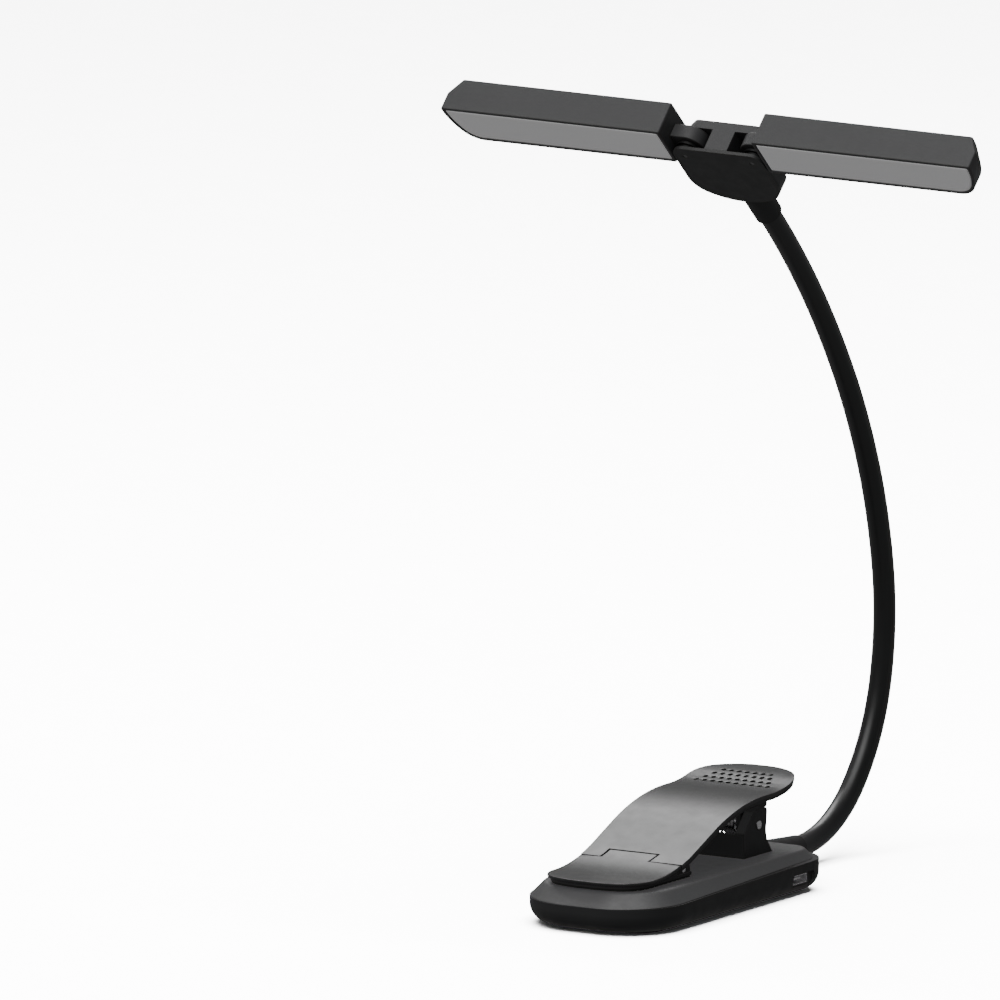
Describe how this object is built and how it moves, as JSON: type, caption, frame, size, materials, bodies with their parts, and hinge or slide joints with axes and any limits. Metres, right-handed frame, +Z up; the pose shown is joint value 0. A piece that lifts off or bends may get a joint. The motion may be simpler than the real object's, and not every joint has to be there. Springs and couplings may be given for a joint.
{
  "type": "clip-on reading lamp",
  "caption": "Clip-on reading lamp with folding light bars on a hub, a gooseneck, and a flat base with a spring clip on top.",
  "frame": {"origin": "centre of the underside of the base", "axes": "+Z up, +Y from the front of the base to its rear where the gooseneck leaves, +X across"},
  "size_m": [0.2182, 0.2113, 0.2808],
  "materials": {
    "battery_foil": "pouch foil",
    "board_green": "solder resist",
    "board_white": "white solder resist",
    "chip_black": "moulded epoxy",
    "cover_grey": "fine satin texture, dark grey",
    "diffuser": "frosted",
    "lead_red": "wire insulation",
    "led_yellow": "phosphor gel",
    "lever_grey": "satin grey",
    "pin_steel": "turned steel",
    "rubber_black": "soft matte",
    "screw_steel": "blackened steel",
    "shell_black": "matte black"
  },
  "bodies": {
    "base": {"base_lower_shell": "shell_black", "base_upper_shell": "cover_grey", "clip_tower": "shell_black", "base_screws": "screw_steel", "base_pad": "rubber_black", "battery": "battery_foil", "ballast_plate": "pin_steel", "charge_board": "board_green", "charge_chips": "chip_black", "power_leads": "lead_red", "usb_inlet": "pin_steel", "clip_pivot_pin": "pin_steel", "clip_spring": "pin_steel", "neck_collar": "shell_black", "neck_root_core": "pin_steel", "neck_lock_nut": "pin_steel"},
    "clip": {"lever_plate": "lever_grey", "lever_frame": "shell_black", "jaw_pin": "pin_steel", "clip_spring_arms": "pin_steel"},
    "jaw": {"jaw_cap": "lever_grey", "jaw_carrier": "shell_black", "jaw_rubber": "rubber_black"},
    "hub": {"hub_rear_shell": "cover_grey", "hub_front_cover": "shell_black", "hub_screws": "screw_steel", "hinge_pin_left": "pin_steel", "hinge_pin_right": "pin_steel", "hinge_washer_left": "pin_steel", "hinge_washer_right": "pin_steel", "neck_sleeve": "shell_black"},
    "neck_link_1": {"neck_core_1": "pin_steel", "neck_sheath_1": "rubber_black"},
    "neck_link_2": {"neck_core_2": "pin_steel", "neck_sheath_2": "rubber_black"},
    "neck_link_3": {"neck_core_3": "pin_steel", "neck_sheath_3": "rubber_black"},
    "neck_link_4": {"neck_core_4": "pin_steel", "neck_sheath_4": "rubber_black"},
    "neck_link_5": {"neck_core_5": "pin_steel", "neck_sheath_5": "rubber_black"},
    "neck_link_6": {"neck_core_6": "pin_steel", "neck_sheath_6": "rubber_black"},
    "neck_link_7": {"neck_core_7": "pin_steel", "neck_sheath_7": "rubber_black"},
    "head_left": {"head_shell_left": "cover_grey", "diffuser_left": "diffuser", "led_board_left": "board_white", "leds_left": "led_yellow", "switch_left": "chip_black"},
    "button_left": {"button_left": "shell_black"},
    "head_right": {"head_shell_right": "cover_grey", "diffuser_right": "diffuser", "led_board_right": "board_white", "leds_right": "led_yellow", "switch_right": "chip_black"},
    "button_right": {"button_right": "shell_black"}
  },
  "joints": [
    {"name": "neck_bend_1", "type": "hinge", "parent": "base", "child": "neck_link_1", "pos_m": [0, 0.08734, 0.0075], "axis": [1, 0, 0], "range_deg": [-10, 10]},
    {"name": "neck_lean_1", "type": "hinge", "parent": "neck_link_1", "child": "neck_link_2", "pos_m": [0, 0.12358, 0.02288], "axis": [0, -0.7193, 0.6947], "range_deg": [-10, 10]},
    {"name": "neck_bend_2", "type": "hinge", "parent": "neck_link_2", "child": "neck_link_3", "pos_m": [0, 0.14275, 0.05796], "axis": [1, 0, 0], "range_deg": [-10, 10]},
    {"name": "neck_lean_2", "type": "hinge", "parent": "neck_link_3", "child": "neck_link_4", "pos_m": [0, 0.14461, 0.09813], "axis": [0, -0.9903, -0.1392], "range_deg": [-10, 10]},
    {"name": "neck_bend_3", "type": "hinge", "parent": "neck_link_4", "child": "neck_link_5", "pos_m": [0, 0.13475, 0.13728], "axis": [1, 0, 0], "range_deg": [-10, 10]},
    {"name": "neck_lean_3", "type": "hinge", "parent": "neck_link_5", "child": "neck_link_6", "pos_m": [0, 0.11747, 0.1738], "axis": [0, -0.8625, -0.506], "range_deg": [-10, 10]},
    {"name": "neck_bend_4", "type": "hinge", "parent": "neck_link_6", "child": "neck_link_7", "pos_m": [0, 0.09475, 0.20723], "axis": [1, 0, 0], "range_deg": [-10, 10]},
    {"name": "neck_lean_4", "type": "hinge", "parent": "neck_link_7", "child": "hub", "pos_m": [0, 0.06789, 0.23744], "axis": [0, -0.7034, -0.7108], "range_deg": [-10, 10]},
    {"name": "clip_squeeze", "type": "hinge", "parent": "base", "child": "clip", "pos_m": [0, 0.0328, 0.0258], "axis": [-1, 0, 0], "range_deg": [0, 20], "stiffness_Nm_per_rad": 1.2, "springref_deg": -20.05},
    {"name": "jaw_swivel", "type": "hinge", "parent": "clip", "child": "jaw", "pos_m": [0, -0.02, 0.0184], "axis": [1, 0, 0], "range_deg": [0, 10]},
    {"name": "fold_left", "type": "hinge", "parent": "hub", "child": "head_left", "pos_m": [-0.0138, 0.03858, 0.26673], "axis": [0, 0.7034, 0.7108], "range_deg": [0, 90]},
    {"name": "press_left", "type": "slide", "parent": "head_left", "child": "button_left", "axis": [0, -0.7034, -0.7108], "range_m": [0, 0.0006], "stiffness_N_per_m": 300, "springref_m": -0.001},
    {"name": "fold_right", "type": "hinge", "parent": "hub", "child": "head_right", "pos_m": [0.0138, 0.03858, 0.26673], "axis": [0, -0.7034, -0.7108], "range_deg": [0, 90]},
    {"name": "press_right", "type": "slide", "parent": "head_right", "child": "button_right", "axis": [0, -0.7034, -0.7108], "range_m": [0, 0.0006], "stiffness_N_per_m": 300, "springref_m": -0.001}
  ],
  "couplings": [
    {"joint": "neck_bend_2", "follows": "neck_bend_1", "ratio": 1},
    {"joint": "neck_bend_3", "follows": "neck_bend_1", "ratio": 1},
    {"joint": "neck_bend_4", "follows": "neck_bend_1", "ratio": 1},
    {"joint": "neck_lean_2", "follows": "neck_lean_1", "ratio": 1},
    {"joint": "neck_lean_3", "follows": "neck_lean_1", "ratio": 1},
    {"joint": "neck_lean_4", "follows": "neck_lean_1", "ratio": 1},
    {"joint": "jaw_swivel", "follows": "clip_squeeze", "ratio": 0.5}
  ]
}
